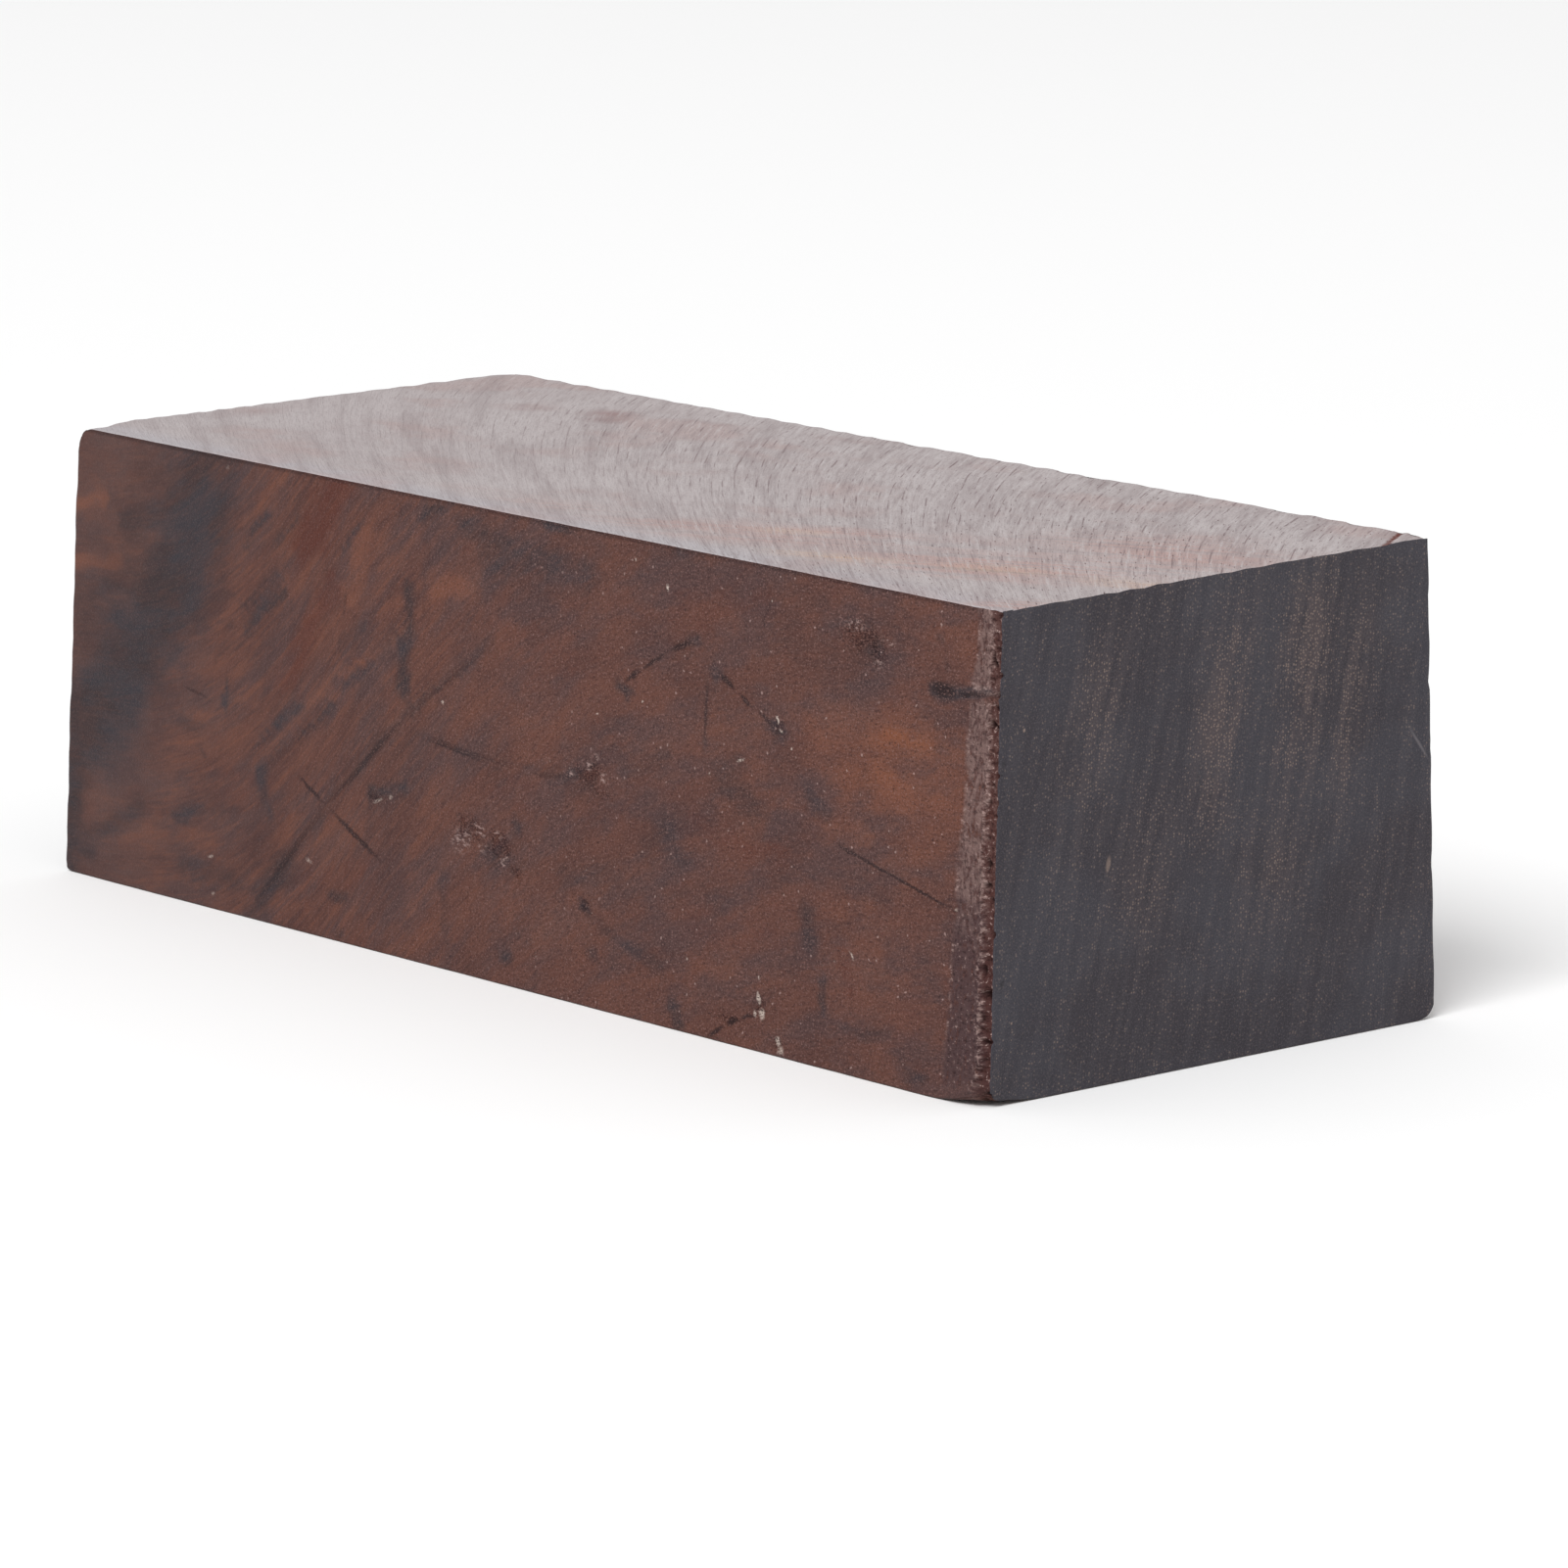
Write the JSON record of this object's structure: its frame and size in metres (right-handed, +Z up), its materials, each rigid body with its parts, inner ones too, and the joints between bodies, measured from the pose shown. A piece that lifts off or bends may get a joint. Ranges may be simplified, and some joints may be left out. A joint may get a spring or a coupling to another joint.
{
  "type": "ebony wood blank",
  "caption": "Rectangular sawn blank of dark figured ebony with a planed long side, a rough sawn top and a chipped upright edge, as stock for carving or turning.",
  "frame": {"origin": "middle of the underside, which the blank rests on", "axes": "+X along the grain towards the sanded end with the chipped edge, -Y out of the planed long side, +Z up"},
  "size_m": [0.1248, 0.05, 0.04],
  "materials": {
    "ebony": "oiled and satin on the planed side, dry and rough from the saw on top, sanded dark end grain"
  },
  "bodies": {
    "root": {"wood_blank": "ebony"}
  },
  "joints": []
}
